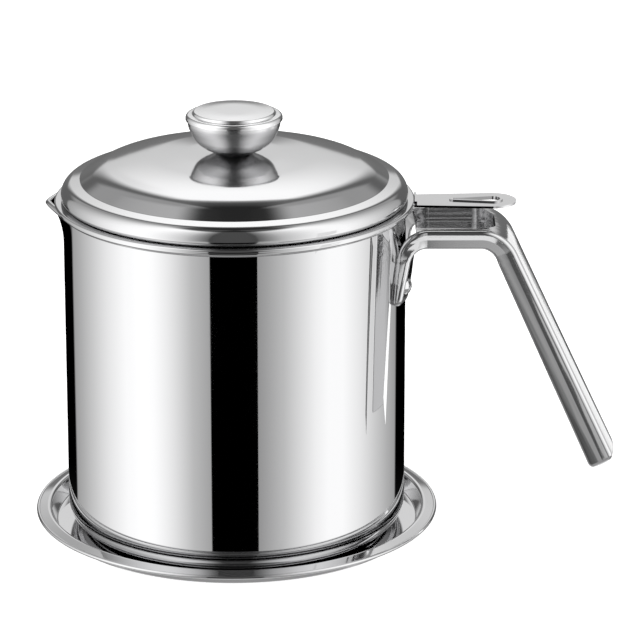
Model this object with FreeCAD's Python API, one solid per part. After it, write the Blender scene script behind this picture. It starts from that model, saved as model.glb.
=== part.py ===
"""Strainer pot for bacon grease: tray, drawn pot with riveted handle, lift-out strainer and lid.

Millimetres, +Z up.  The origin is the centre of the tray's underside, the pot's axis is Z,
the handle points along +X and the pouring lip along -X.
"""
import FreeCAD
import Part
import math
import os

V = FreeCAD.Vector
AXIS = V(0, 0, 1)
ORIGIN = V(0, 0, 0)

# ---------------------------------------------------------------- driving dimensions
GAUGE = 0.6                # sheet of the pot, lid, tray and strainer ring
SEAT_GAP = 0.1             # play between two pieces that only rest on each other

TRAY_RADIUS = 71.6         # outer edge of the tray's rim
TRAY_BASE = 64.6           # outside of the flat base, where the slanted wall starts
TRAY_WELL = 66.4           # inner edge of the rim
TRAY_HEIGHT = 6.3          # table to the crest of the rim
TRAY_RIM_FALL = 1.1        # the rim slopes down by this much to its outer edge

POT_RADIUS = 60.0          # outside of the wall
POT_CORNER = 8.0           # radius between wall and base
POT_FOOT_RING = 44.0       # radius inside which the base is pressed upwards
POT_RIM_Z = 118.8          # top of the curled rim
RIM_BEAD = 1.2             # radius of the curled rim

LIP_REACH = 4.4            # how far the pouring lip stands out from the wall
LIP_DEPTH = 14.0           # height over which the lip flares out
LIP_HALF_ANGLE = 22.0      # degrees of rim given to the lip on each side

RING_RADIUS = 63.0         # flange of the strainer
COLLAR_RADIUS = 58.7       # strainer collar, inside the pot's mouth
COLLAR_DROP = 9.0
MESH_GAUGE = 0.4
MESH_FLOOR_RADIUS = 50.0
MESH_FLOOR_Z = 90.0
TAB_TIP = 98.6             # end of the strainer's tab, measured from the axis
TAB_ROOT_WIDTH = 13.4
TAB_TIP_WIDTH = 16.8
TAB_GAUGE = 0.8
SLOT_BORDER = 0.9          # pressed border around the hanging slot

LID_RADIUS = 60.7          # widest point of the lid's rolled edge
LID_CREST = 135.6          # flat seat under the knob
DOME_MIDDLE_RADIUS = 35.0  # where the dome starts to bend down, and its height there
DOME_MIDDLE_Z = 134.4
DOME_EDGE_RADIUS = 47.2    # where the dome passes into its shoulder
DOME_EDGE_Z = 131.1
STEP_RADIUS = 54.0         # crease between the dome's shoulder and the outer ring
STEP_Z = 126.8
RING_FALL = 1.7            # fall of the outer ring, produced to the lid's widest point
LID_LOCATOR_RADIUS = 56.5  # ring that keeps the lid central in the strainer

KNOB_RADIUS = 16.9         # bead around the knob
KNOB_FOOT_RADIUS = 6.0     # where the knob stands on the lid
KNOB_BEAD_Z = 148.8
KNOB_TOP_Z = 150.8
KNOB_CAP_RADIUS = 14.1
SCREW_RADIUS = 2.0

HANDLE_WIDTH = 34.0        # over the two rails
HANDLE_DEPTH = 6.2         # thickness of the level part
ELBOW_DEPTH = 7.4          # thickness just below the corner
HANDLE_TOP_Z = 111.6
LEVEL_START_X = 67.0       # where the rails turn down into the legs
LEVEL_CROWN = 0.05         # the level part is all but flat on top
WEB_START_X = 63.6         # end of the channel's floor next to the pot
EDGE_ROUND = 1.7           # rounding along the handle's outer edges
FLANK_DRAFT = 12.0         # degrees by which the outer part of a flank slants
ELBOW_CROWN = 0.7          # how far the outer face is crowned below the corner, and at the tip
GRIP_CROWN = 1.1
HANDLE_CORNER_X = 95.2     # where the level part's top meets the grip's outer face
GRIP_SLOPE = 25.2          # degrees between the grip and the vertical
GRIP_LENGTH = 92.6
GRIP_TIP_WIDTH = 25.0
GRIP_TIP_DEPTH = 9.3
TROUGH_HALF_WIDTH = 13.4   # open channel between the rails
TROUGH_END_X = 91.2
TROUGH_FLOOR = 2.0         # steel left under the channel
LEG_BEND = 9.0             # radius over the outside of the bend into a leg
LEG_DEPTH = 4.4            # thickness of a leg below its bend
LEG_FOOT_Z = 86.8
WALL_SINK = 0.6            # how far a leg reaches into the wall before it is cut to it
LEG_WIDTH = 9.5
LEG_ROUND = 1.5            # rounding of the legs' edges
LEG_ANGLE_TOP = 14.2       # degrees around the pot, at the top of a leg and at its foot
LEG_ANGLE_FOOT = 19.0
RIVET_Z = 93.0
RIVET_SHANK = 2.0
RIVET_HEAD = 3.1
RIVET_SEAT = 63.1          # where the rivet's dome leaves the leg, measured from the axis


# ---------------------------------------------------------------- helpers
def outline(corners):
    """Wire in the XZ plane through corners (r, z, fillet), with a tangent arc at each fillet."""
    edges = []
    here = V(corners[0][0], 0, corners[0][1])
    for before, corner, after in zip(corners, corners[1:], corners[2:]):
        point = V(corner[0], 0, corner[1])
        back = (V(before[0], 0, before[1]) - point).normalize()
        ahead = (V(after[0], 0, after[1]) - point).normalize()
        half = back.getAngle(ahead) / 2
        if corner[2] == 0 or abs(half - math.pi / 2) < 1e-4:
            edges.append(Part.LineSegment(here, point).toShape())
            here = point
            continue
        reach = corner[2] / math.tan(half)
        start, end = point + back * reach, point + ahead * reach
        middle = point + (back + ahead).normalize() * (corner[2] / math.sin(half) - corner[2])
        if (start - here).Length > 1e-5:
            edges.append(Part.LineSegment(here, start).toShape())
        edges.append(Part.Arc(start, middle, end).toShape())
        here = end
    edges.append(Part.LineSegment(here, V(corners[-1][0], 0, corners[-1][1])).toShape())
    return Part.Wire(edges)


def turned(corners):
    """Solid of revolution about Z of a closed outline."""
    wire = outline(list(corners) + [(corners[0][0], corners[0][1], 0)])
    return Part.Face(wire).revolve(ORIGIN, AXIS, 360)


def spun_sheet(corners, gauge):
    """Sheet of one gauge spun about Z: the outline is one face, the sheet lies to its right."""
    band = outline(corners).makeOffset2D(gauge, 0, True, True)
    solid = band.revolve(ORIGIN, AXIS, 360)
    return Part.Solid(solid.Shells[0]) if solid.Solids == [] else solid.Solids[0]


def cylinder(radius, z_low, z_high, x=0.0, y=0.0):
    return Part.makeCylinder(radius, z_high - z_low, V(x, y, z_low))


# ---------------------------------------------------------------- tray and pot
def tray():
    """Shallow saucer pressed from one sheet, with a hemmed rim that falls outwards."""
    well_outside = TRAY_WELL + GAUGE
    crest = TRAY_HEIGHT - GAUGE
    hem = 0.65
    hem_radius = TRAY_RADIUS - hem
    hem_z = crest - TRAY_RIM_FALL
    saucer = spun_sheet([(0, 0, 0),
                         (TRAY_BASE, 0, 1.2),
                         (well_outside, crest, 0.7),
                         (hem_radius, hem_z, 0)], GAUGE)
    bead = Part.makeTorus(hem_radius, hem, V(0, 0, hem_z + GAUGE / 2))
    return saucer.fuse(bead).removeSplitter()


def rim_wire(radius, reach, z, roundness):
    """Closed line around the pot at height z: a circle with the pouring lip drawn out of it.

    roundness is how far the lip's nose is blunted, from a sharp V to the plain circle.
    """
    angle = math.radians(180 - LIP_HALF_ANGLE)
    pull = 4 / 3 * math.tan(math.radians(LIP_HALF_ANGLE) / 4) * radius
    side = V(radius * math.cos(angle), radius * math.sin(angle), z)
    side_pull = side + V(-math.sin(angle), math.cos(angle), 0) * pull
    nose = V(-radius - reach, 0, z)
    nose_pull = nose + V(0, pull * roundness, 0)
    rear = Part.Arc(V(side.x, -side.y, z), V(radius, 0, z), side).toShape()
    flanks = []
    right = [side, side_pull, nose_pull, nose]
    left = [V(pole.x, -pole.y, z) for pole in reversed(right)]
    for poles in (right, left):
        curve = Part.BezierCurve()
        curve.setPoles(poles)
        flanks.append(curve.toShape())
    return Part.Wire([rear] + flanks)


def mouth(radius, z_low, z_high):
    """Solid of the pot's upper end, in which the lip grows out of the round wall."""
    steps = 5
    wires = []
    for step in range(steps):
        rise = step / (steps - 1)
        wires.append(rim_wire(radius, LIP_REACH * rise ** 2.2, z_low + (z_high - z_low) * rise,
                              1 - 0.65 * rise))
    return Part.makeLoft(wires, True, False)


def pot_body():
    """Deep-drawn pot: pressed-up base, rounded corner, pouring lip and curled rim."""
    base = GAUGE + SEAT_GAP
    bead_z = POT_RIM_Z - RIM_BEAD
    lip_start = bead_z - LIP_DEPTH
    can = spun_sheet([(0, base + 0.9, 0),
                      (POT_FOOT_RING - 2, base + 0.9, 1.5),
                      (POT_FOOT_RING, base, 1.5),
                      (POT_RADIUS, base, POT_CORNER),
                      (POT_RADIUS, lip_start, 0)], GAUGE)
    neck = mouth(POT_RADIUS, lip_start, bead_z).cut(mouth(POT_RADIUS - GAUGE, lip_start, bead_z))
    path = rim_wire(POT_RADIUS + RIM_BEAD / 2, LIP_REACH, bead_z, 0.35)
    start = path.Edges[0].valueAt(path.Edges[0].FirstParameter)
    tangent = path.Edges[0].tangentAt(path.Edges[0].FirstParameter)
    section = Part.Wire([Part.Circle(start, tangent, RIM_BEAD).toShape()])
    bead = path.makePipeShell([section], True, False)
    body = can.fuse([neck, bead])
    for side in (1, -1):
        body = body.cut(radial_pin(side, RIVET_SHANK, POT_RADIUS - 2, POT_RADIUS + 2))
    return body.removeSplitter()


# ---------------------------------------------------------------- handle
def rivet_angle():
    """Degrees around the pot from +X to a rivet."""
    fall = (HANDLE_TOP_Z - RIVET_Z) / (HANDLE_TOP_Z - LEG_FOOT_Z)
    return LEG_ANGLE_TOP + (LEG_ANGLE_FOOT - LEG_ANGLE_TOP) * fall


def radial(side):
    """Direction from the axis through one leg's rivet."""
    angle = math.radians(rivet_angle()) * side
    return V(math.cos(angle), math.sin(angle), 0)


def radial_pin(side, radius, inner, outer):
    """Cylinder on a rivet's axis between two distances from the pot's axis."""
    direction = radial(side)
    return Part.makeCylinder(radius, outer - inner, direction * inner + V(0, 0, RIVET_Z), direction)


def leg_section(centre, across, up, width, depth, blend):
    """Closed wire of a leg; blend runs from 0, the rail's own section, to 1, an evenly rounded bar."""
    half_w, half_d = width / 2, depth / 2
    even = min(LEG_ROUND, 0.46 * width, 0.46 * depth)
    crest = EDGE_ROUND + (even - EDGE_ROUND) * blend
    heel = EDGE_ROUND / 2 + (even - EDGE_ROUND / 2) * blend
    inner = 0.3 + (even - 0.3) * blend           # the channel's edge is nearly sharp
    lean = math.radians(FLANK_DRAFT) * (1 - blend)
    waist = min(0.1 * half_d, (half_d - crest) / 2)
    top_w = half_w - (half_d - waist) * math.tan(lean)
    shoulder_w = half_w - (half_d - crest - waist) * math.tan(lean)
    bow_w = shoulder_w - crest * (1 - math.sin(math.pi / 4 + lean / 2)) - 0.03 * (1 - blend)
    bow_d = half_d - crest * (1 - math.sin(math.pi / 4 - lean / 2)) + 0.03 * (1 - blend)
    heel_curl, inner_curl = heel * (1 - math.sqrt(0.5)), inner * (1 - math.sqrt(0.5))

    def at(w, d):
        return centre + across * w + up * d

    edges = [Part.LineSegment(at(inner - half_w, half_d), at(top_w - crest, half_d)),
             Part.Arc(at(top_w - crest, half_d), at(bow_w, bow_d), at(shoulder_w, half_d - crest)),
             Part.LineSegment(at(shoulder_w, half_d - crest), at(half_w, waist)),
             Part.LineSegment(at(half_w, waist), at(half_w, heel - half_d)),
             Part.Arc(at(half_w, heel - half_d), at(half_w - heel_curl, heel_curl - half_d),
                      at(half_w - heel, -half_d)),
             Part.LineSegment(at(half_w - heel, -half_d), at(inner - half_w, -half_d)),
             Part.Arc(at(inner - half_w, -half_d), at(inner_curl - half_w, inner_curl - half_d),
                      at(-half_w, inner - half_d)),
             Part.LineSegment(at(-half_w, inner - half_d), at(-half_w, half_d - inner)),
             Part.Arc(at(-half_w, half_d - inner), at(inner_curl - half_w, half_d - inner_curl),
                      at(inner - half_w, half_d))]
    return Part.Wire([edge.toShape() for edge in edges])


def grip_section(centre, across, up, width, depth, crown):
    """Closed wire of the pressed bar: crowned outer face, flanks that widen inwards, then stand up."""
    half_w, half_d = width / 2, depth / 2
    edge = min(EDGE_ROUND, 0.4 * depth)
    heel = 0.5 * edge                            # rounding along the inner face
    waist = 0.1 * half_d                         # where the slanted part of a flank ends
    draft = math.tan(math.radians(FLANK_DRAFT))
    top_w = half_w - (half_d - waist) * draft
    shoulder_w = half_w - (half_d - edge - waist) * draft
    lean = math.radians(45 - FLANK_DRAFT / 2)
    bow_w = shoulder_w - edge * (1 - math.sin(math.pi / 2 - lean)) - 0.03
    bow_d = half_d - edge * (1 - math.sin(lean)) + 0.03
    curl = heel * (1 - math.sqrt(0.5))

    def at(w, d):
        return centre + across * w + up * d

    right = [Part.Arc(at(top_w - edge, half_d), at(bow_w, bow_d), at(shoulder_w, half_d - edge)),
             Part.LineSegment(at(shoulder_w, half_d - edge), at(half_w, waist)),
             Part.LineSegment(at(half_w, waist), at(half_w, heel - half_d)),
             Part.Arc(at(half_w, heel - half_d), at(half_w - curl, curl - half_d),
                      at(half_w - heel, -half_d))]
    left = [Part.Arc(at(heel - half_w, -half_d), at(curl - half_w, curl - half_d),
                     at(-half_w, heel - half_d)),
            Part.LineSegment(at(-half_w, heel - half_d), at(-half_w, waist)),
            Part.LineSegment(at(-half_w, waist), at(-shoulder_w, half_d - edge)),
            Part.Arc(at(-shoulder_w, half_d - edge), at(-bow_w, bow_d), at(edge - top_w, half_d))]
    outer = [Part.Arc(at(edge - top_w, half_d), at(0, half_d + crown), at(top_w - edge, half_d))]
    inner = [Part.LineSegment(at(half_w - heel, -half_d), at(heel - half_w, -half_d))]
    return Part.Wire([part.toShape() for part in outer + right + inner + left])


def grip():
    """Level part, corner and sloping grip with a domed end, before the channel is pressed into it."""
    slope = math.radians(GRIP_SLOPE)
    turn = math.pi / 2 - slope
    bend = 11.0                                  # radius of the bar's middle at the corner
    level_z = HANDLE_TOP_Z - HANDLE_DEPTH / 2
    reach = bend * math.tan(turn / 2)
    corner_x = HANDLE_CORNER_X - HANDLE_DEPTH / 2 * math.tan(turn / 2)
    across = V(0, 1, 0)
    hub = V(corner_x - reach, 0, level_z - bend)

    def section(centre, outward, width, depth, crown):
        """The crest of the crown stays on the bar's outer line."""
        sunk = centre - outward * ((depth - HANDLE_DEPTH) / 2 + crown)
        return grip_section(sunk, across, outward, width, depth, crown)

    end_wire = section(hub + AXIS * bend, AXIS, HANDLE_WIDTH, HANDLE_DEPTH, LEVEL_CROWN)
    level = Part.Face(end_wire).extrude(V(LEVEL_START_X - hub.x, 0, 0))
    wires = [end_wire]
    steps = 6
    for step in range(1, steps + 1):
        part = step / steps
        outward = V(math.sin(turn * part), 0, math.cos(turn * part))
        crown = LEVEL_CROWN + (ELBOW_CROWN - LEVEL_CROWN) * math.sin(math.pi / 2 * part) ** 2
        depth = HANDLE_DEPTH + (ELBOW_DEPTH - HANDLE_DEPTH) * part
        wires.append(section(hub + outward * bend, outward, HANDLE_WIDTH, depth, crown))
    down = V(math.sin(slope), 0, -math.cos(slope))
    top = hub + outward * bend
    straight = GRIP_LENGTH - reach
    dome = 2.6                                   # length of the rounding at the tip

    def grip_station(along, shrink):
        part = along / straight
        width = HANDLE_WIDTH + (GRIP_TIP_WIDTH - HANDLE_WIDTH) * part - 2 * shrink
        depth = ELBOW_DEPTH + (GRIP_TIP_DEPTH - ELBOW_DEPTH) * part
        crown = ELBOW_CROWN + (GRIP_CROWN - ELBOW_CROWN) * part
        centre = top + down * along - outward * ((depth - HANDLE_DEPTH) / 2 + crown)
        return grip_section(centre, across, outward, width, depth - 2 * shrink, crown)

    elbow = Part.makeLoft(wires, True, False)
    if elbow.Volume < 0:
        elbow.reverse()
    rounding = ((1, 0), (0.8, 0.06), (0.6, 0.22), (0.4, 0.52), (0.2, 1.04), (0.06, 1.7), (0, 2.3))
    bar = Part.makeLoft([wires[-1]] + [grip_station(straight - dome * part, shrink)
                                       for part, shrink in rounding], True, True)
    return level.fuse([elbow, bar])


def channel():
    """What is pressed out between the rails: an open trough with a round far end."""
    floor_z = HANDLE_TOP_Z - HANDLE_DEPTH + TROUGH_FLOOR
    nose = 9.0
    half = TROUGH_HALF_WIDTH
    end = TROUGH_END_X
    flat = half - nose
    near = POT_RADIUS - 5
    lean = nose * math.sqrt(0.5)
    points = [V(near, -half, 0), V(end - nose, -half, 0), V(end - nose + lean, -flat - lean, 0),
              V(end, -flat, 0), V(end, flat, 0), V(end - nose + lean, flat + lean, 0),
              V(end - nose, half, 0), V(near, half, 0)]
    edges = [Part.LineSegment(points[0], points[1]), Part.Arc(points[1], points[2], points[3]),
             Part.LineSegment(points[3], points[4]), Part.Arc(points[4], points[5], points[6]),
             Part.LineSegment(points[6], points[7]), Part.LineSegment(points[7], points[0])]
    face = Part.Face(Part.Wire([edge.toShape() for edge in edges]))
    trough = face.extrude(V(0, 0, 20))
    trough.translate(V(0, 0, floor_z))
    return trough


def leg():
    """One leg of the fork: it leaves its rail, bends down and hugs the pot's wall to its foot."""
    hub_z = HANDLE_TOP_Z - LEG_BEND
    leg_height = HANDLE_TOP_Z - LEG_FOOT_Z
    rail_width = HANDLE_WIDTH / 2 - TROUGH_HALF_WIDTH
    rail_y = TROUGH_HALF_WIDTH + rail_width / 2
    buried = 0.06                                # the leg starts just inside its rail

    def around(z):
        """Radians around the pot to the leg's middle at height z."""
        part = (HANDLE_TOP_Z - z) / leg_height
        return math.radians(LEG_ANGLE_TOP + (LEG_ANGLE_FOOT - LEG_ANGLE_TOP) * part)

    end = around(hub_z)
    hub_start = V(LEVEL_START_X, rail_y, hub_z)
    hub_end = V(math.cos(end), math.sin(end), 0) * (POT_RADIUS - WALL_SINK + LEG_BEND) + V(0, 0, hub_z)
    wires = [leg_section(V(LEVEL_START_X + 1.5, rail_y, HANDLE_TOP_Z - HANDLE_DEPTH / 2 - LEVEL_CROWN),
                         V(0, 1, 0), AXIS, rail_width - buried, HANDLE_DEPTH - buried, 0)]
    for part, width in ((0, 3.6), (0.25, 3.9), (0.5, 4.6), (0.75, 5.6), (1, 6.8)):
        angle, swing = math.pi / 2 * part, end * part
        depth = HANDLE_DEPTH + (LEG_DEPTH + WALL_SINK - HANDLE_DEPTH) * part
        up = V(-math.sin(angle) * math.cos(swing), -math.sin(angle) * math.sin(swing), math.cos(angle))
        sink = LEVEL_CROWN * (1 - part)
        centre = hub_start + (hub_end - hub_start) * part + up * (LEG_BEND - depth / 2 - sink)
        wires.append(leg_section(centre, V(-math.sin(swing), math.cos(swing), 0), up, width, depth, part))
    for part, depth, width in ((0.25, 3.9, 8.2), (0.5, 3.4, 9.2), (0.75, 2.9, LEG_WIDTH),
                               (0.93, 2.4, LEG_WIDTH - 0.3), (1, 1.7, LEG_WIDTH - 2.4)):
        z = hub_z + (LEG_FOOT_Z - hub_z) * part
        angle = around(z)
        out = V(math.cos(angle), math.sin(angle), 0)
        centre = out * (POT_RADIUS + (depth - WALL_SINK) / 2) + V(0, 0, z)
        wires.append(leg_section(centre, V(-out.y, out.x, 0), out * -1, width, depth + WALL_SINK, 1))
    return Part.makeLoft(wires, True, False)


def solid_handle():
    """Forked handle without its rivet holes: two legs, a level channel between rails, a closed grip."""
    floor_z = HANDLE_TOP_Z - HANDLE_DEPTH
    web_half = TROUGH_HALF_WIDTH + 0.8
    web = Part.makeBox(LEVEL_START_X - WEB_START_X + 0.5, 2 * web_half, TROUGH_FLOOR - LEVEL_CROWN,
                       V(WEB_START_X, -web_half, floor_z))
    body = grip().fuse(web).cut(channel())
    for side in (1, -1):
        one = leg()
        if side < 0:
            one = one.mirror(ORIGIN, V(0, 1, 0))
        body = body.fuse(one)
    return body.cut(cylinder(POT_RADIUS, 0, HANDLE_TOP_Z))


def handle(solid):
    for side in (1, -1):
        solid = solid.cut(radial_pin(side, RIVET_SHANK, POT_RADIUS - 2, POT_RADIUS + 8))
    return solid


def rivet(side, solid):
    """Domed rivet through one leg and the pot's wall, closed by a flat head inside."""
    dome_height = 1.5
    dome_radius = (RIVET_HEAD ** 2 + dome_height ** 2) / (2 * dome_height)
    direction = radial(side)
    centre = direction * (RIVET_SEAT + dome_height - dome_radius) + V(0, 0, RIVET_Z)
    dome = Part.makeSphere(dome_radius, centre)
    dome = dome.common(radial_pin(side, RIVET_HEAD, RIVET_SEAT - 1.2, RIVET_SEAT + dome_height + 1))
    dome = dome.cut(solid)
    shank = radial_pin(side, RIVET_SHANK, POT_RADIUS - GAUGE - 1.0, RIVET_SEAT + 0.5)
    inner_head = radial_pin(side, RIVET_HEAD, POT_RADIUS - GAUGE - 1.0, POT_RADIUS - GAUGE)
    inner_head = inner_head.common(cylinder(POT_RADIUS - GAUGE, RIVET_Z - 10, RIVET_Z + 10))
    return dome.fuse([shank, inner_head]).cut(cylinder(POT_RADIUS - GAUGE - 1.0, RIVET_Z - 5, RIVET_Z + 5))


# ---------------------------------------------------------------- strainer
FLANGE_Z = POT_RIM_Z + SEAT_GAP            # underside of the flange
FLANGE_TOP = FLANGE_Z + GAUGE
FLANGE_LIP = 0.5                           # turned-down edge of the flange
MESH_RADIUS = COLLAR_RADIUS - GAUGE        # outside of the mesh where the collar holds it
MESH_TOP_Z = FLANGE_Z - 2.6


def strainer_ring():
    """Flange that rests on the pot's rim, with a collar that hangs inside the mouth."""
    lip_radius = RING_RADIUS - GAUGE
    ring = spun_sheet([(lip_radius, FLANGE_Z - FLANGE_LIP, 0),
                       (lip_radius, FLANGE_Z, 0.2),
                       (COLLAR_RADIUS, FLANGE_Z, 1.0),
                       (COLLAR_RADIUS, FLANGE_Z - COLLAR_DROP, 0)], -GAUGE)
    notch = 21.0                               # half width of the edge left off above the pouring lip
    over_lip = Part.makeBox(8, 2 * notch, FLANGE_LIP, V(-RING_RADIUS - 1, -notch, FLANGE_Z - FLANGE_LIP))
    return ring.cut(over_lip.cut(cylinder(COLLAR_RADIUS + GAUGE, FLANGE_Z - 1, FLANGE_Z)))


def strainer_tab():
    """Flat strip with a hanging slot; its root is turned up and welded to the flange's edge."""
    top = FLANGE_Z - FLANGE_LIP
    root_x = RING_RADIUS - 0.4
    half_root, half_tip = TAB_ROOT_WIDTH / 2, TAB_TIP_WIDTH / 2
    shoulder = TAB_TIP - half_tip
    outer = [Part.LineSegment(V(root_x, -half_root, top), V(shoulder, -half_tip, top)),
             Part.Arc(V(shoulder, -half_tip, top), V(TAB_TIP, 0, top), V(shoulder, half_tip, top)),
             Part.LineSegment(V(shoulder, half_tip, top), V(root_x, half_root, top)),
             Part.LineSegment(V(root_x, half_root, top), V(root_x, -half_root, top))]
    strip = Part.Face(Part.Wire([edge.toShape() for edge in outer])).extrude(V(0, 0, -TAB_GAUGE))
    upstand = Part.makeBox(TAB_GAUGE, TAB_ROOT_WIDTH - 1.6, FLANGE_TOP - top + TAB_GAUGE,
                           V(RING_RADIUS - 0.1, -half_root + 0.8, top - TAB_GAUGE))
    slot_start, slot_end, slot_small, slot_big = 76.6, 92.9, 0.6, 2.7
    big_x = slot_end - slot_big
    slot = [Part.LineSegment(V(slot_start, -slot_small, top), V(big_x, -slot_big, top)),
            Part.Arc(V(big_x, -slot_big, top), V(slot_end, 0, top), V(big_x, slot_big, top)),
            Part.LineSegment(V(big_x, slot_big, top), V(slot_start, slot_small, top)),
            Part.Arc(V(slot_start, slot_small, top), V(slot_start - slot_small, 0, top),
                     V(slot_start, -slot_small, top))]
    slot_wire = Part.Wire([edge.toShape() for edge in slot])
    hole = Part.Face(slot_wire).extrude(V(0, 0, -4 * TAB_GAUGE))
    hole.translate(V(0, 0, 2 * TAB_GAUGE))
    border = Part.Face(slot_wire.makeOffset2D(SLOT_BORDER)).extrude(V(0, 0, SLOT_BORDER / 2))
    tab = strip.fuse([upstand, border]).cut(hole)
    tab = tab.cut(cylinder(RING_RADIUS, top, FLANGE_TOP + 1))
    return tab.cut(cylinder(POT_RADIUS + 2 * RIM_BEAD + 0.1, top - 2, top + 0.001)).removeSplitter()


def mesh_cup():
    """Fine mesh dish: a straight edge in the collar, a tapered side and a flat floor."""
    return spun_sheet([(MESH_RADIUS, MESH_TOP_Z, 0),
                       (MESH_RADIUS, FLANGE_Z - COLLAR_DROP, 2.5),
                       (MESH_FLOOR_RADIUS + 1.5, MESH_FLOOR_Z, 6.0),
                       (0, MESH_FLOOR_Z, 0)], -MESH_GAUGE)


def mesh_clamp_ring():
    """Hooked ring that holds the mesh's edge against the collar."""
    outside = MESH_RADIUS - MESH_GAUGE
    low = FLANGE_Z - COLLAR_DROP + 0.8
    return turned([(outside, low, 0), (outside, MESH_TOP_Z, 0), (MESH_RADIUS, MESH_TOP_Z, 0),
                   (MESH_RADIUS, MESH_TOP_Z + GAUGE, 0), (outside - GAUGE, MESH_TOP_Z + GAUGE, 0),
                   (outside - GAUGE, low, 0)])


# ---------------------------------------------------------------- lid and knob
LID_HEM_Z = FLANGE_TOP + SEAT_GAP          # underside of the lid's hem
KNOB_GAUGE = 0.8


def lid_shell():
    """Pressed lid: flat seat, dome, shoulder, outer ring that falls to a rolled edge, and inward hem."""
    return spun_sheet([(SCREW_RADIUS + 0.2, LID_CREST, 0),
                       (15.0, LID_CREST, 120),
                       (DOME_MIDDLE_RADIUS, DOME_MIDDLE_Z, 70),
                       (DOME_EDGE_RADIUS, DOME_EDGE_Z, 20),
                       (STEP_RADIUS, STEP_Z, 0.9),
                       (LID_RADIUS, STEP_Z - RING_FALL, 4.9),
                       (LID_RADIUS, LID_HEM_Z, 1.6),
                       (LID_RADIUS - 2.6, LID_HEM_Z, 0)], -GAUGE)


def lid_locating_ring(shell):
    """Ring welded under the lid's step; it drops inside the strainer and keeps the lid central."""
    flange_z = STEP_Z - 0.9
    ring = spun_sheet([(STEP_RADIUS - 1.2, flange_z, 0),
                       (LID_LOCATOR_RADIUS, flange_z, 1.5),
                       (LID_LOCATOR_RADIUS, FLANGE_TOP - 3.0, 0)], -GAUGE)
    return ring.cut(shell)


def knob_bowl():
    """Spun cup that stands on the lid and carries the cap."""
    bowl_radius = KNOB_RADIUS - GAUGE - 0.05
    return spun_sheet([(SCREW_RADIUS + 0.2, LID_CREST, 0),
                       (KNOB_FOOT_RADIUS, LID_CREST, 1.0),
                       (13.3, LID_CREST + 3.75, 9.0),
                       (bowl_radius, KNOB_BEAD_Z - 3.1, 9.0),
                       (bowl_radius, KNOB_BEAD_Z - 0.2, 0)], KNOB_GAUGE)


def knob_cap():
    """Stepped disc crimped over the bowl's edge."""
    return spun_sheet([(0, KNOB_TOP_Z + 0.45, 0),
                       (KNOB_CAP_RADIUS - 5.7, KNOB_TOP_Z + 0.45, 60),
                       (KNOB_CAP_RADIUS, KNOB_TOP_Z, 0.7),
                       (KNOB_CAP_RADIUS + 0.4, KNOB_TOP_Z - 1.0, 0.5),
                       (KNOB_RADIUS, KNOB_BEAD_Z + 0.85, 1.25),
                       (KNOB_RADIUS, KNOB_BEAD_Z - 0.9, 0)], -GAUGE)


def knob_insert():
    """Threaded boss welded into the bowl."""
    floor = LID_CREST + KNOB_GAUGE
    return turned([(SCREW_RADIUS, floor, 0), (5.0, floor, 0), (5.0, floor + 1.2, 0), (3.6, floor + 1.2, 0),
                   (3.6, floor + 9, 0), (SCREW_RADIUS, floor + 9, 0)])


def knob_washer():
    below = LID_CREST - GAUGE
    return turned([(SCREW_RADIUS, below - 0.8, 0), (5.2, below - 0.8, 0), (5.2, below, 0),
                   (SCREW_RADIUS, below, 0)])


def knob_screw():
    """Pan-head screw from inside the lid into the knob."""
    seat = LID_CREST - GAUGE - 0.8
    return turned([(0, seat - 2.2, 0), (3.0, seat - 2.2, 0), (3.8, seat - 1.2, 0), (3.8, seat, 0),
                   (SCREW_RADIUS, seat, 0), (SCREW_RADIUS, seat + 9, 0), (0, seat + 9, 0)])


def main():
    shell = lid_shell()
    fork = solid_handle()
    nodes = {
        "tray": tray(),
        "pot_body": pot_body(),
        "handle": handle(fork),
        "rivet_rear": rivet(1, fork),
        "rivet_front": rivet(-1, fork),
        "strainer_ring": strainer_ring(),
        "strainer_tab": strainer_tab(),
        "mesh_cup": mesh_cup(),
        "mesh_clamp_ring": mesh_clamp_ring(),
        "lid_shell": shell,
        "lid_locating_ring": lid_locating_ring(shell),
        "knob_bowl": knob_bowl(),
        "knob_cap": knob_cap(),
        "knob_insert": knob_insert(),
        "knob_washer": knob_washer(),
        "knob_screw": knob_screw(),
    }
    os.makedirs("parts", exist_ok=True)
    for name, shape in nodes.items():
        if not shape.isValid() or len(shape.Solids) != 1:
            raise ValueError(name + " isn't one valid solid")
        shape.exportStep("parts/" + name + ".step")
        box = shape.BoundBox
        print("%-20s volume %9.1f  z %.2f to %.2f  x %.2f to %.2f" % (
            name, shape.Volume, box.ZMin, box.ZMax, box.XMin, box.XMax))


main()
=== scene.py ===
"""Looks of the bacon grease container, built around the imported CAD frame.

Outlines and places are written in millimetres, and MM turns them into Blender's metres.  The pot's axis is Z,
the handle points along +X, the pouring lip along -X, and the camera looks along +Y.
"""
import bpy
import math
import numpy as np
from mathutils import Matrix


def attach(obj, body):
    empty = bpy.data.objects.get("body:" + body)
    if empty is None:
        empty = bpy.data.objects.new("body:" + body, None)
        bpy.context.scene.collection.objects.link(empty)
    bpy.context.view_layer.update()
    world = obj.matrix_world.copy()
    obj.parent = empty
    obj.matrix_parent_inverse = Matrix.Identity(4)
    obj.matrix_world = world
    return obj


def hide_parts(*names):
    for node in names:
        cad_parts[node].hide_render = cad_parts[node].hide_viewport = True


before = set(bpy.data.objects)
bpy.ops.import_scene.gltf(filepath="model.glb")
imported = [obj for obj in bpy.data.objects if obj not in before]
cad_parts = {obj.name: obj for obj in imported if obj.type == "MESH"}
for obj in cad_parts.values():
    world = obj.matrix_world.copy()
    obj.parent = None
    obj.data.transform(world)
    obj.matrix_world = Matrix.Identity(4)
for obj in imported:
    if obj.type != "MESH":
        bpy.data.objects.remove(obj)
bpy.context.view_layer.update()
MM = 0.001

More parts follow.
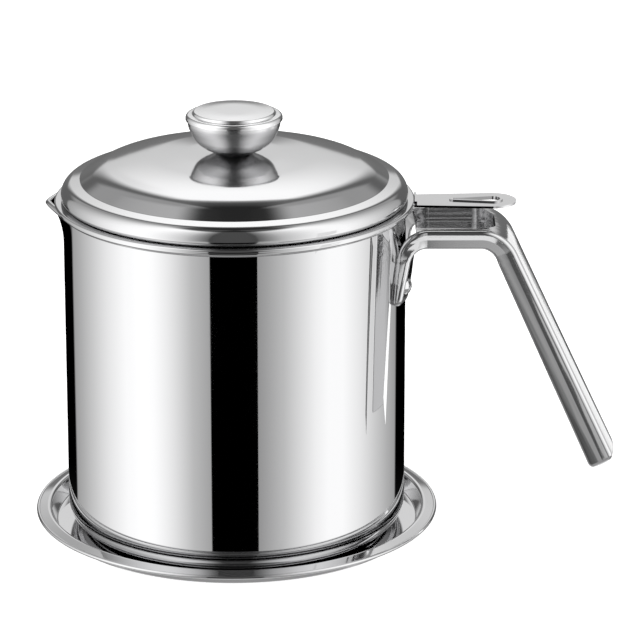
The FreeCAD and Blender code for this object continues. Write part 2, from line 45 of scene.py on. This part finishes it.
# ------------------------------------------------------------------ dimensions, as in the CAD source
GAUGE, SEAT_GAP = 0.6, 0.1
TRAY_RADIUS, TRAY_BASE, TRAY_WELL, TRAY_HEIGHT, TRAY_RIM_FALL, TRAY_HEM = 71.6, 64.6, 66.4, 6.3, 1.1, 0.65
POT_RADIUS, POT_CORNER, POT_FOOT_RING, POT_RIM_Z, RIM_BEAD = 60.0, 8.0, 44.0, 118.8, 1.2
LIP_REACH, LIP_DEPTH, LIP_HALF_ANGLE = 4.4, 14.0, 22.0
RING_RADIUS, COLLAR_RADIUS, COLLAR_DROP = 63.0, 58.7, 9.0
LID_RADIUS, LID_CREST = 60.7, 135.6
KNOB_RADIUS, KNOB_FOOT_RADIUS, KNOB_BEAD_Z, KNOB_TOP_Z, KNOB_CAP_RADIUS = 16.9, 6.0, 148.8, 150.8, 14.1
KNOB_GAUGE, BOWL_RADIUS, SCREW_HOLE = 0.8, 16.25, 2.2
FLANGE_Z = POT_RIM_Z + SEAT_GAP
FLANGE_TOP = FLANGE_Z + GAUGE
FLANGE_LIP, FLANGE_NOTCH = 0.5, 21.0
DOME_MIDDLE, DOME_EDGE = (35.0, 134.4), (47.2, 131.1)
STEP_RADIUS, STEP_Z, RING_FALL = 54.0, 126.8, 1.7
ALONG_GRIP = math.radians(-25.2)   # turn about Y that brings the vertical in line with the grip
GRIP_START_X = 0.093, 0.099  # metres over which the handle passes from its level part into the grip

AROUND = 256                 # steps round a lathed piece
ARC_STEP = math.radians(5)   # step along a fillet
STRAIGHT_STEP = 6.0          # step along a straight stretch
ON_AXIS = 1e-6               # a point closer to the axis than this is a pole
SAME_SPOT = 1e-5             # points closer together than this are one point
NO_BEND = 1e-4               # a corner that turns by less than twice this, in radians, is left straight


# ------------------------------------------------------------------ profiles
def outline(corners):
    """Points along a filleted line through corners (r, z, fillet): (r, z, normal to the left of travel)."""
    points = []
    here = np.array(corners[0][:2], float)

    def straight(a, b):
        d = (b - a) / np.linalg.norm(b - a)
        n = (-d[1], d[0])
        count = max(1, int(np.linalg.norm(b - a) / STRAIGHT_STEP))
        for i in range(count + 1):
            p = a + (b - a) * i / count
            points.append((p[0], p[1], n[0], n[1]))

    for before, corner, after in zip(corners, corners[1:], corners[2:]):
        point = np.array(corner[:2], float)
        back = np.array(before[:2], float) - point
        ahead = np.array(after[:2], float) - point
        back, ahead = back / np.linalg.norm(back), ahead / np.linalg.norm(ahead)
        half = math.acos(max(-1.0, min(1.0, float(back @ ahead)))) / 2
        if corner[2] == 0 or abs(half - math.pi / 2) < NO_BEND:
            straight(here, point)
            here = point
            continue
        reach = corner[2] / math.tan(half)
        start, end = point + back * reach, point + ahead * reach
        centre = point + (back + ahead) / np.linalg.norm(back + ahead) * corner[2] / math.sin(half)
        if np.linalg.norm(start - here) > SAME_SPOT:
            straight(here, start)
        a0 = math.atan2(*(start - centre)[::-1])
        turn = (math.atan2(*(end - centre)[::-1]) - a0 + math.pi) % (2 * math.pi) - math.pi
        side = -1.0 if turn > 0 else 1.0      # the centre lies to the left of travel on a left turn
        count = max(3, int(abs(turn) / ARC_STEP) + 1)
        for i in range(count + 1):
            a = a0 + turn * i / count
            c, s = math.cos(a), math.sin(a)
            points.append((centre[0] + corner[2] * c, centre[1] + corner[2] * s, side * c, side * s))
        here = end
    straight(here, np.array(corners[-1][:2], float))
    return points


def sheet_profile(corners, gauge):
    """Closed profile of a sheet, from the outline of one face.

    The other face lies gauge to its left, or to its right where gauge is negative.
    """
    face = outline(corners)
    side, thick = math.copysign(1.0, gauge), abs(gauge)
    near = [(r, z, -side * nr, -side * nz) for r, z, nr, nz in face]
    far = [(r + side * thick * nr, z + side * thick * nz, side * nr, side * nz) for r, z, nr, nz in face]

    def edge(a, b, out):
        """The sheet's cut edge from face point a to face point b, shaded as if slightly rounded."""
        if abs(a[0]) < ON_AXIS:
            return []
        lean = 0.35
        na = np.array(a[2:]) * lean + out
        nb = np.array(b[2:]) * lean + out
        return [(*a[:2], *(na / np.linalg.norm(na))), (*b[:2], *(nb / np.linalg.norm(nb)))]

    def travel(i, j):
        d = np.array(face[j][:2]) - np.array(face[i][:2])
        return d / np.linalg.norm(d)

    return (near + edge(near[-1], far[-1], travel(-2, -1)) + far[::-1]
            + edge(far[0], near[0], travel(1, 0)))


# ------------------------------------------------------------------ mesh building
def build(name, skin, body, node, material):
    """Piece that replaces a node of a body, from its skin: positions in mm, corner normals and faces."""
    positions, normals, faces = skin
    mesh = bpy.data.meshes.new(name)
    mesh.from_pydata((np.asarray(positions) * MM).tolist(), [], faces)
    mesh.polygons.foreach_set("use_smooth", [True] * len(mesh.polygons))
    mesh.normals_split_custom_set([tuple(n) for n in normals])
    mesh.materials.append(material)
    piece = bpy.data.objects.new(name, mesh)
    bpy.context.scene.collection.objects.link(piece)
    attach(piece, body)
    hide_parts(node)


def assemble(rings, strips):
    """Skin from rings of points (a ring of one point is a pole) and strips (ring, ring, normals, normals)."""
    starts = np.cumsum([0] + [len(ring) for ring in rings])
    points = np.concatenate(rings)
    faces, normals = [], []
    for a, b, na, nb in strips:
        one_a, one_b = len(rings[a]) == 1, len(rings[b]) == 1
        if a == b or (one_a and one_b):
            continue
        count = max(len(rings[a]), len(rings[b]))
        k = np.arange(count)
        m = (k + 1) % count
        va, va2 = [starts[a] + (0 * step if one_a else step) for step in (k, m)]
        vb, vb2 = [starts[b] + (0 * step if one_b else step) for step in (k, m)]
        corners = [(va, na[k]), (va2, na[m]), (vb2, nb[m]), (vb, nb[k])]
        if one_a:
            corners.pop(1)
        if one_b:
            corners.pop(2)
        index = np.stack([c[0] for c in corners], 1)
        shade = np.stack([c[1] for c in corners], 1)
        tri = points[index]
        flat = np.cross(tri[:, 1] - tri[:, 0], tri[:, 2] - tri[:, 0]).reshape(-1, 3)
        if (flat * shade.mean(1)).sum() < 0:
            index, shade = index[:, ::-1], shade[:, ::-1]
        faces += index.tolist()
        normals.append(shade.reshape(-1, 3))
    return points, np.concatenate(normals), faces


def lathe(profile, around=AROUND, swell=None, lift=None):
    """Skin of a closed profile turned about Z, with exact normals.

    profile holds (r, z, nr, nz) with outward normals; doubled points mark sharp corners.
    swell(angles, z) gives the pouring lip's displacement in mm, and its slopes by angle and by z.
    lift(angles, r, z) gives new heights, where a piece isn't the same all the way round.
    """
    angles = np.linspace(0, 2 * math.pi, around, endpoint=False)
    cos, sin, none = np.cos(angles), np.sin(angles), np.zeros(around)
    rings, ring_of, shades = [], [], []
    for r, z, nr, nz in profile:
        push, by_angle, by_z = swell(angles, z) if swell and r > ON_AXIS else (none, none, none)
        radius = r + push
        t_z = np.full(around, nr)
        t_r = -nz + by_z * t_z
        along = np.stack([t_r * cos, t_r * sin, t_z], 1)
        turn = np.stack([-radius * sin + by_angle * cos, radius * cos + by_angle * sin, none], 1)
        flat = np.stack([nr * cos, nr * sin, np.full(around, nz)], 1)
        if r < ON_AXIS:
            normal, spots = flat, np.array([[0.0, 0.0, z]])
        else:
            normal = np.cross(turn, along)
            normal /= np.linalg.norm(normal, axis=1, keepdims=True)
            heights = lift(angles, r, z) if lift else np.full(around, z)
            spots = np.stack([radius * cos, radius * sin, heights], 1)
        shades.append(normal)
        for k in (len(rings) - 1, 0):
            if rings and len(rings[k]) == len(spots) and np.abs(rings[k] - spots).max() < SAME_SPOT:
                ring_of.append(k)
                break
        else:
            ring_of.append(len(rings))
            rings.append(spots)
    following = list(range(1, len(profile))) + [0]
    strips = [(ring_of[i], ring_of[j], shades[i], shades[j]) for i, j in enumerate(following)]
    return assemble(rings, strips)


# ------------------------------------------------------------------ node helpers
class Nodes:
    """Short way to write a node tree."""

    def __init__(self, tree):
        self.tree = tree
        tree.nodes.clear()

    def add(self, kind, inputs=None, **settings):
        node = self.tree.nodes.new(kind)
        for key, value in settings.items():
            setattr(node, key, value)
        for key, value in (inputs or {}).items():
            if isinstance(value, bpy.types.NodeSocket):
                self.tree.links.new(value, node.inputs[key])
            else:
                node.inputs[key].default_value = value
        return node

    def math(self, operation, a, b=0.0, c=0.0):
        return self.add("ShaderNodeMath", {0: a, 1: b, 2: c}, operation=operation).outputs[0]

    def mix(self, part, first, second):
        """Level between first, where part is 0, and second, where it is 1."""
        return self.add("ShaderNodeMix", {0: part, 2: first, 3: second}, data_type="FLOAT").outputs[0]

    def ramp(self, value, stops):
        """Level at a value from 0 to 1, straight between (place, level) stops."""
        node = self.add("ShaderNodeValToRGB", {"Fac": value})
        elements = node.color_ramp.elements
        while len(elements) > 1:
            elements.remove(elements[0])
        elements[0].position, elements[0].color = stops[0][0], (*[stops[0][1]] * 3, 1)
        for place, level in stops[1:]:
            elements.new(place).color = (level, level, level, 1)
        return node.outputs[0]

    def smooth(self, value, low, high, to_low=0.0, to_high=1.0):
        """Soft step from to_low, at a value of low, to to_high, at a value of high."""
        return self.add("ShaderNodeMapRange", {0: value, 1: low, 2: high, 3: to_low, 4: to_high},
                        interpolation_type="SMOOTHSTEP").outputs[0]


# ------------------------------------------------------------------ materials
WHEEL_STRETCH = (1, 1, 60)   # the polishing wheel's marks are this much finer along Z
RIDGE_STRETCH = 20           # the handle's ridges are this much longer than wide


def steel(name, base, rough, spread, lines=0.0, waves=0.0):
    """Stainless steel: roughness of rough +- spread, mottled by polishing.

    lines is the strength of the lines that the wheel leaves.  waves is the depth in metres of the shallow
    ridges along the handle, level first and then down the grip.
    """
    material = bpy.data.materials.new(name)
    material.use_nodes = True
    n = Nodes(material.node_tree)
    place = n.add("ShaderNodeTexCoord").outputs["Object"]
    cloud = n.add("ShaderNodeTexNoise", {"Vector": place, "Scale": 45.0, "Detail": 4.0}).outputs[0]
    stretched = n.add("ShaderNodeMapping", {"Vector": place, "Scale": WHEEL_STRETCH}).outputs[0]
    wheel = n.add("ShaderNodeTexNoise", {"Vector": stretched, "Scale": 30.0, "Detail": 6.0}).outputs[0]
    mixed = n.math("ADD", n.math("MULTIPLY", cloud, 0.6), n.math("MULTIPLY", wheel, 0.4))
    roughness = n.smooth(mixed, 0.3, 0.7, max(0.0, rough - spread), rough + spread)
    tone = n.add("ShaderNodeMix", {"Factor": mixed, "A": (*[c * 0.985 for c in base], 1), "B": (*base, 1)},
                 data_type="RGBA", clamp_factor=True)
    shader_inputs = {"Metallic": 1.0, "Roughness": roughness}
    if lines:
        shader_inputs["Normal"] = n.add("ShaderNodeBump", {"Height": wheel, "Strength": lines,
                                                           "Distance": 0.00005}).outputs[0]
    if waves:
        level = n.add("ShaderNodeMapping", {"Vector": place, "Scale": (1 / RIDGE_STRETCH, 1, 1)}).outputs[0]
        slanted = n.add("ShaderNodeMapping", {"Vector": place, "Rotation": (0, ALONG_GRIP, 0),
                                              "Scale": (1, 1, RIDGE_STRETCH)},
                        vector_type="TEXTURE").outputs[0]
        beyond = n.smooth(n.add("ShaderNodeSeparateXYZ", {0: place}).outputs[0], *GRIP_START_X)
        ridges = [n.add("ShaderNodeTexNoise", {"Vector": way, "Scale": 420.0, "Detail": 1.0}).outputs[0]
                  for way in (level, slanted)]
        ridges = n.mix(beyond, *ridges)
        shader_inputs["Normal"] = n.add("ShaderNodeBump", {"Height": ridges, "Strength": 1.0,
                                                           "Distance": waves}).outputs[0]
    shader = n.add("ShaderNodeBsdfPrincipled", shader_inputs)
    n.tree.links.new(tone.outputs["Result"], shader.inputs["Base Color"])
    n.tree.links.new(shader.outputs[0], n.add("ShaderNodeOutputMaterial").inputs[0])
    return material


POLISHED = steel("mirror_polished_steel", (0.63, 0.63, 0.635), 0.028, 0.014)
PRESSED = steel("polished_pressing", (0.62, 0.62, 0.625), 0.055, 0.02)
LID_STEEL = steel("buffed_lid_steel", (0.63, 0.63, 0.635), 0.085, 0.02)
KNOB_STEEL = steel("buffed_knob_steel", (0.63, 0.63, 0.635), 0.24, 0.03)
CAP_STEEL = steel("bright_cap_steel", (0.80, 0.80, 0.805), 0.16, 0.02)
HANDLE_STEEL = steel("buffed_handle_steel", (0.63, 0.63, 0.635), 0.12, 0.02, waves=0.00012)
SATIN = steel("satin_steel", (0.56, 0.56, 0.565), 0.24, 0.06, lines=0.12)


def woven(name, pitch):
    """Fine steel wire cloth: bright wires crossing at a pitch in metres, with painted shade between them,
    where the openings are coloured near black in place of the dark that would show through.
    """
    material = bpy.data.materials.new(name)
    material.use_nodes = True
    n = Nodes(material.node_tree)
    place = n.add("ShaderNodeSeparateXYZ", {0: n.add("ShaderNodeTexCoord").outputs["Object"]}).outputs
    waves = [n.math("SINE", n.math("MULTIPLY", place[k], 2 * math.pi / pitch)) for k in (0, 1)]
    wires = n.math("MAXIMUM", n.math("ABSOLUTE", waves[0]), n.math("ABSOLUTE", waves[1]))
    crossing = n.math("MULTIPLY", waves[0], waves[1])
    height = n.math("MULTIPLY_ADD", crossing, 0.3, wires)
    # painted shade: the openings between the wires are coloured near black, standing in for the dark seen
    # through the holes
    painted_gap_shade_mask = n.smooth(wires, 0.45, 0.8)
    wire_tone_and_painted_gap_shade = n.add("ShaderNodeMix", {"Factor": painted_gap_shade_mask, "A": (0.03, 0.03, 0.03, 1), "B": (0.60, 0.60, 0.605, 1)},
                 data_type="RGBA").outputs["Result"]
    bump = n.add("ShaderNodeBump", {"Height": height, "Strength": 0.8, "Distance": 0.0002}).outputs[0]
    shader = n.add("ShaderNodeBsdfPrincipled", {"Base Color": wire_tone_and_painted_gap_shade, "Metallic": 1.0, "Roughness": 0.34,
                                                "Normal": bump})
    n.tree.links.new(shader.outputs[0], n.add("ShaderNodeOutputMaterial").inputs[0])
    return material


WIRE_CLOTH = woven("woven_wire_cloth", 0.0016)


# ------------------------------------------------------------------ lathed pieces
def bead(centre, radius, start, end, steps):
    """Points of a rolled edge between two angles in degrees, in the (r, z) plane."""
    made = []
    for i in range(steps + 1):
        a = math.radians(start + (end - start) * i / steps)
        c, s = math.cos(a), math.sin(a)
        made.append((centre[0] + radius * c, centre[1] + radius * s, c, s))
    return made


# ------------------------------------------------------------------ tray
def tray_profile():
    """Saucer with a slanted wall and a falling rim, which ends in the hem's round bead."""
    crest = TRAY_HEIGHT - GAUGE
    hem = np.array([TRAY_RADIUS - TRAY_HEM, crest - TRAY_RIM_FALL])
    under = outline([(0, 0, 0), (TRAY_BASE, 0, 1.2), (TRAY_WELL + GAUGE, crest, 0.7), (*hem, 0)])
    centre = hem + (0, GAUGE / 2)
    normal = np.array(under[-1][2:])
    inwards = np.array([-normal[1], normal[0]])

    def meeting(point):
        """Degrees on the bead where the line through point, running along the rim, enters it."""
        away = point - centre
        along = away @ inwards
        hit = away + inwards * (-along + math.sqrt(along ** 2 - away @ away + TRAY_HEM ** 2))
        return math.degrees(math.atan2(hit[1], hit[0])) % 360

    low, high = meeting(hem), meeting(hem + normal * GAUGE)
    upper = [(r + GAUGE * nr, z + GAUGE * nz, nr, nz) for r, z, nr, nz in under[:-1]]
    lower = [(r, z, -nr, -nz) for r, z, nr, nz in under[:-1]]
    rim = bead(centre, TRAY_HEM, low, high + 360, 28)
    return lower + [(*rim[0][:2], *-normal)] + rim + [(*rim[-1][:2], *normal)] + upper[::-1]


build("tray_saucer", lathe(tray_profile()), "tray", "tray", PRESSED)


# ------------------------------------------------------------------ pot
BEAD_Z = POT_RIM_Z - RIM_BEAD
LIP_START = BEAD_Z - LIP_DEPTH
LIP_FLARE = 2.2              # power by which the lip's reach grows with height
LIP_BLUNTING = 0.65          # how much narrower the lip's front is at the rim than at its start
FOOT_RISE, FOOT_SLOPE, FOOT_FILLET = 0.9, 2.0, 1.5   # the step where the base is pressed upwards
NECK_STEPS = 22


def lip_curve(rise):
    """Angles and displacements of the pouring lip at a height, from its start at 0 to the rim at 1."""
    reach, blunt = LIP_REACH * rise ** LIP_FLARE, 1 - LIP_BLUNTING * rise
    corner = math.radians(180 - LIP_HALF_ANGLE)
    pull = 4 / 3 * math.tan(math.radians(LIP_HALF_ANGLE) / 4) * POT_RADIUS
    side = np.array([math.cos(corner), math.sin(corner)]) * POT_RADIUS
    poles = [side, side + np.array([-math.sin(corner), math.cos(corner)]) * pull,
             np.array([-POT_RADIUS - reach, pull * blunt]), np.array([-POT_RADIUS - reach, 0.0])]
    t = np.linspace(0, 1, 400)[:, None]
    curve = ((1 - t) ** 3 * poles[0] + 3 * (1 - t) ** 2 * t * poles[1] + 3 * (1 - t) * t ** 2 * poles[2]
             + t ** 3 * poles[3])
    return np.arctan2(curve[:, 1], curve[:, 0]), np.hypot(curve[:, 0], curve[:, 1]) - POT_RADIUS


LIP_RISES = np.linspace(0, 1, 41)
LIP_ANGLES = np.radians(np.linspace(180 - LIP_HALF_ANGLE, 180, 200))
LIP_TABLE = np.array([np.interp(LIP_ANGLES, *lip_curve(rise)) for rise in LIP_RISES])


def lip_swell(angles, z):
    """Displacement of the wall by the pouring lip, and its slopes by angle and by height."""
    rise = min(1.0, max(0.0, (z - LIP_START) / LIP_DEPTH))

    def push(at_angles, at_rise):
        folded = math.pi - np.abs(at_angles % (2 * math.pi) - math.pi)
        place = at_rise * (len(LIP_RISES) - 1)
        k = min(int(place), len(LIP_RISES) - 2)
        row = LIP_TABLE[k] * (k + 1 - place) + LIP_TABLE[k + 1] * (place - k)
        return np.interp(folded, LIP_ANGLES, row, left=0.0)

    step, lift = 0.004, 0.02
    by_angle = (push(angles + step, rise) - push(angles - step, rise)) / (2 * step)
    low, high = max(0.0, rise - lift), min(1.0, rise + lift)
    by_z = (push(angles, high) - push(angles, low)) / ((high - low) * LIP_DEPTH)
    return push(angles, rise), by_angle, by_z if 0 < z - LIP_START < LIP_DEPTH else by_z * 0


def pot_profile():
    """Can with a pressed-up base, a neck in steps fine enough for the lip, and a rim curled outwards."""
    base = GAUGE + SEAT_GAP
    can = outline([(0, base + FOOT_RISE, 0), (POT_FOOT_RING - FOOT_SLOPE, base + FOOT_RISE, FOOT_FILLET),
                   (POT_FOOT_RING, base, FOOT_FILLET), (POT_RADIUS, base, POT_CORNER),
                   (POT_RADIUS, LIP_START, 0)])
    meet = 30.0              # degrees before the bead's lowest point at which it meets the wall's outer face
    neck_top = BEAD_Z - RIM_BEAD * math.cos(math.radians(meet))
    outer_neck = [(POT_RADIUS, z, 1.0, 0.0) for z in np.linspace(LIP_START, neck_top, NECK_STEPS)[1:]]
    inner_neck = [(POT_RADIUS - GAUGE, z, -1.0, 0.0) for z in np.linspace(BEAD_Z, LIP_START, NECK_STEPS)]
    rim = bead((POT_RADIUS + RIM_BEAD / 2, BEAD_Z), RIM_BEAD, 270 - meet, 540, 24)
    outer = [(r, z, -nr, -nz) for r, z, nr, nz in can]
    inner = [(r + GAUGE * nr, z + GAUGE * nz, nr, nz) for r, z, nr, nz in can[:-1]]
    return outer + outer_neck + rim + inner_neck + inner[::-1]


build("pot_shell", lathe(pot_profile(), 2 * AROUND, lip_swell), "pot", "pot_body", POLISHED)


# ------------------------------------------------------------------ strainer
def above_lip(angles, r, z):
    """Heights of the flange: its turned-down edge is left off above the pouring lip."""
    over = (np.cos(angles) < 0) & (np.abs(r * np.sin(angles)) < FLANGE_NOTCH)
    return np.where(over & (z < FLANGE_Z) & (r > COLLAR_RADIUS + GAUGE + SEAT_GAP), FLANGE_Z, z)


build("strainer_flange", lathe(sheet_profile([
    (RING_RADIUS - GAUGE, FLANGE_Z - FLANGE_LIP, 0), (RING_RADIUS - GAUGE, FLANGE_Z, 0.2),
    (COLLAR_RADIUS, FLANGE_Z, 1.0), (COLLAR_RADIUS, FLANGE_Z - COLLAR_DROP, 0)], -GAUGE), lift=above_lip),
    "strainer", "strainer_ring", PRESSED)

# ------------------------------------------------------------------ lid and knob, as corners (r, z, fillet)
build("lid_dome", lathe(sheet_profile([
    (SCREW_HOLE, LID_CREST, 0), (15.0, LID_CREST, 120), (*DOME_MIDDLE, 70), (*DOME_EDGE, 20),
    (STEP_RADIUS, STEP_Z, 0.9), (LID_RADIUS, STEP_Z - RING_FALL, 4.9),
    (LID_RADIUS, FLANGE_TOP + SEAT_GAP, 1.6), (LID_RADIUS - 2.6, FLANGE_TOP + SEAT_GAP, 0)], -GAUGE)),
    "lid", "lid_shell", LID_STEEL)

build("knob_cup", lathe(sheet_profile([
    (SCREW_HOLE, LID_CREST, 0), (KNOB_FOOT_RADIUS, LID_CREST, 1.0), (13.3, 139.35, 9.0),
    (BOWL_RADIUS, 145.7, 9.0), (BOWL_RADIUS, KNOB_BEAD_Z - 0.2, 0)], KNOB_GAUGE)),
    "lid", "knob_bowl", KNOB_STEEL)

build("knob_disc", lathe(sheet_profile([
    (0, 151.25, 0), (8.4, 151.25, 60), (KNOB_CAP_RADIUS, KNOB_TOP_Z, 0.7), (14.5, 149.8, 0.5),
    (KNOB_RADIUS, 149.65, 1.25), (KNOB_RADIUS, KNOB_BEAD_Z - 0.9, 0)], -GAUGE)),
    "lid", "knob_cap", CAP_STEEL)

# ------------------------------------------------------------------ frame nodes that stay
for node, material in (("handle", HANDLE_STEEL), ("rivet_rear", POLISHED), ("rivet_front", POLISHED),
                       ("strainer_tab", PRESSED), ("mesh_cup", WIRE_CLOTH), ("mesh_clamp_ring", SATIN),
                       ("lid_locating_ring", SATIN), ("knob_insert", SATIN), ("knob_washer", SATIN),
                       ("knob_screw", SATIN)):
    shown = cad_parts[node]
    shown.data.materials.clear()
    shown.data.materials.append(material)

# ------------------------------------------------------------------ studio
STUDIO_LEVEL = 1.45          # the bright sides outshine the white of the backdrop, as bare steel needs

# Levels by azimuth, in degrees from the camera's side, and by elevation in the other three zones
SIDES = [(0, 0.0), (15.5, 0.0), (16, 0.32), (28, 0.44), (42, 0.70), (56, 0.95), (66, 1.06), (78, 1.06),
         (84, 0.99), (94, 0.87), (111, 0.63), (126, 0.45), (138, 0.34), (139.5, 0.30), (180, 0.30)]
FRONT = [(-90, 0.3), (-45, 0.3), (-30, 0.02), (-22, 0.0), (-15, 0.0), (-12, 0.07), (70, 0.07), (78, 0.02),
         (90, 0.02)]
GAP = [(-90, 0.3), (-45, 0.3), (-22.5, 0.07), (-21, 0.0), (-15, 0.0), (-13, 0.10), (60, 0.13), (72, 0.02),
       (90, 0.02)]
BEHIND = [(-90, 0.3), (-45, 0.3), (-22.5, 0.07), (-21, 0.0), (-15, 0.0), (-13, 0.10), (9.5, 0.16), (12, 0.55),
          (18, 0.60), (34, 0.92), (43, 1.05), (51, 1.05), (55, 0.3), (60, 0.08), (72, 0.02), (90, 0.02)]


def at(azimuth):
    """An azimuth in degrees as a share of the half turn from the camera's side to the far side."""
    return azimuth / 180


def up(elevation):
    """An elevation in degrees as a share of the way from straight down to straight up."""
    return (elevation + 90) / 180


def studio():
    """World, which the camera sees as plain white.

    Light and reflections come from two tall bright sides, with a dark gap between them in front of the object.
    Behind it stands a bright panel, high up, with a dark gap on both sides.
    """
    world = bpy.data.worlds.new("studio")
    bpy.context.scene.world = world
    world.use_nodes = True
    n = Nodes(world.node_tree)
    x, y, z = n.add("ShaderNodeSeparateXYZ", {0: n.add("ShaderNodeTexCoord").outputs["Generated"]}).outputs
    azimuth = n.math("DIVIDE", n.math("ABSOLUTE", n.math("ARCTAN2", x, n.math("MULTIPLY", y, -1.0))), math.pi)
    height = n.math("ADD", n.math("DIVIDE", n.math("ARCSINE", z), math.pi), 0.5)
    sides = n.ramp(azimuth, [(at(degrees), level) for degrees, level in SIDES])
    front, gap, behind = [n.ramp(height, [(up(degrees), level) for degrees, level in zone])
                          for zone in (FRONT, GAP, BEHIND)]

    def blend(first, second, low, high):
        """One zone of the studio passing into the next between two azimuths."""
        return n.mix(n.smooth(azimuth, at(low), at(high)), first, second)

    # the left side is a little brighter near the front, and both sides end below the ceiling
    left = n.math("MULTIPLY", n.smooth(x, 0.0, -0.3), n.smooth(azimuth, at(40), at(80), 0.22, 0.0))
    sides = n.math("MULTIPLY_ADD", sides, left, sides)
    sides = n.math("MULTIPLY", sides, n.smooth(height, up(66), up(76), 1.0, 0.08))

    # the edges of the gaps are sharp low down, where the pot's wall shows them, and soft or wider higher up
    raised = n.smooth(height, up(-12), up(-6))
    light = n.mix(raised, blend(front, sides, 15.3, 15.9), blend(front, sides, 9.0, 34.0))
    higher = n.smooth(height, up(14), up(24))
    light = n.mix(higher, blend(light, gap, 138.5, 141.5), blend(light, gap, 148, 154))
    light = blend(light, behind, 156, 168)

    # low down the sides give way to the table, which is brighter behind the object than in front of it
    light = n.math("MULTIPLY", light, n.smooth(height, up(-32.4), up(-23.4), 0.25, 1.0))
    light = n.math("MAXIMUM", light, n.smooth(height, up(-46.8), up(-30.6), 0.30, 0.0))
    table_behind = n.math("MULTIPLY", n.smooth(height, up(-54), up(-45), 0.85, 0.0), n.smooth(y, 0.0, 0.3))
    light = n.math("MULTIPLY", n.math("MAXIMUM", light, table_behind), STUDIO_LEVEL)

    seen = n.add("ShaderNodeLightPath").outputs["Is Camera Ray"]
    shader = n.add("ShaderNodeBackground", {"Color": (1, 1, 1, 1), "Strength": n.mix(seen, light, 1.0)})
    n.tree.links.new(shader.outputs[0], n.add("ShaderNodeOutputWorld").inputs[0])


def soft_box(name, centre, size, level, lean):
    """Area lamp facing the front: centre and size in mm, and lean tips its top to the right."""
    lamp = bpy.data.lights.new(name, "AREA")
    lamp.shape, lamp.size, lamp.size_y = "RECTANGLE", size[0] * MM, size[1] * MM
    lamp.energy = math.pi * lamp.size * lamp.size_y * level
    box = bpy.data.objects.new(name, lamp)
    box.location = [c * MM for c in centre]
    box.rotation_euler = (math.radians(-90), lean, 0)
    box.visible_camera = False
    bpy.context.scene.collection.objects.link(box)


def card(name, centre, size, levels, lean=0.0):
    """Glowing board facing along Y, with its centre and size in mm.

    levels are (place, brightness) pairs from its left edge at 0 to its right edge at 1, and lean tips its top
    to the right.
    """
    mesh = bpy.data.meshes.new(name)
    wide, tall = size[0] * MM / 2, size[1] * MM / 2
    corners = [(-wide, 0, -tall), (wide, 0, -tall), (wide, 0, tall), (-wide, 0, tall)]
    mesh.from_pydata(corners, [], [(0, 1, 2, 3)])
    board = bpy.data.objects.new(name, mesh)
    board.location = [c * MM for c in centre]
    board.rotation_euler = (0, lean, 0)
    bpy.context.scene.collection.objects.link(board)
    board.visible_camera = False
    board.visible_shadow = False
    board.visible_diffuse = False
    material = bpy.data.materials.new(name)
    material.use_nodes = True
    n = Nodes(material.node_tree)
    place = n.add("ShaderNodeSeparateXYZ", {0: n.add("ShaderNodeTexCoord").outputs["Generated"]}).outputs[0]
    shader = n.add("ShaderNodeEmission", {"Strength": n.ramp(place, levels)})
    n.tree.links.new(shader.outputs[0], n.add("ShaderNodeOutputMaterial").inputs[0])
    mesh.materials.append(material)


TABLE_HALF = 1.6             # metres from the tray's axis to the table's edge
TABLE_OWN = 0.82             # light of its own that brings the table, as the camera sees it, up to white


def floor():
    """White table under the tray.  Reflections show the studio instead of it, and it keeps a faint shadow."""
    mesh = bpy.data.meshes.new("table")
    edge = TABLE_HALF
    corners = [(-edge, -edge, 0), (edge, -edge, 0), (edge, edge, 0), (-edge, edge, 0)]
    mesh.from_pydata(corners, [], [(0, 1, 2, 3)])
    table = bpy.data.objects.new("table", mesh)
    bpy.context.scene.collection.objects.link(table)
    table.location.z = -0.0001
    table.visible_glossy = False
    table.visible_shadow = False
    material = bpy.data.materials.new("white_table")
    material.use_nodes = True
    n = Nodes(material.node_tree)
    own = n.add("ShaderNodeEmission", {"Color": (1, 1, 1, 1)})
    seen = n.add("ShaderNodeLightPath").outputs["Is Camera Ray"]
    n.tree.links.new(n.math("MULTIPLY", seen, TABLE_OWN), own.inputs["Strength"])
    matt = n.add("ShaderNodeBsdfDiffuse", {"Color": (0.8, 0.8, 0.8, 1)})
    both = n.add("ShaderNodeAddShader")
    n.tree.links.new(own.outputs[0], both.inputs[0])
    n.tree.links.new(matt.outputs[0], both.inputs[1])
    n.tree.links.new(both.outputs[0], n.add("ShaderNodeOutputMaterial").inputs[0])
    mesh.materials.append(material)


def camera():
    """Long lens, 18 degrees above the table, as close to the photographer's place as the fit gives."""
    turn, tilt, aside = math.radians(1.0), math.radians(18.36), math.radians(1.29)
    back, height, sideways, focal, frame_px = 1.300, 0.50547, 0.0006, 3874.0, 640.0
    data = bpy.data.cameras.new("camera")
    data.sensor_width = 36.0
    data.lens = focal * data.sensor_width / frame_px
    data.clip_start, data.clip_end = 0.05, 20.0
    eye = bpy.data.objects.new("camera", data)
    eye.location = (sideways * math.cos(turn) + back * math.sin(turn),
                    sideways * math.sin(turn) - back * math.cos(turn), height)
    eye.rotation_euler = (math.pi / 2 - tilt, 0.0, turn - aside)
    bpy.context.scene.collection.objects.link(eye)
    bpy.context.scene.camera = eye


studio()
card("card_for_the_handle", (123, -300, -21), (94, 158), [(0.0, 0.46), (1.0, 0.77)])
card("card_for_the_rails", (83, -75, 115), (46, 24), [(0.0, 1.15), (1.0, 1.15)])
card("card_for_the_grip", (113.8, -24, 58.9), (11.5, 94),
     [(0.0, 0.09), (0.15, 0.11), (0.26, 0.20), (0.40, 0.48), (0.52, 0.38), (0.65, 0.12), (1.0, 0.10)],
     ALONG_GRIP)
soft_box("box_behind_the_grip", (141, 40, 58), (22, 118), 1.05, ALONG_GRIP)
floor()
camera()
bpy.context.scene.view_settings.view_transform = "Standard"
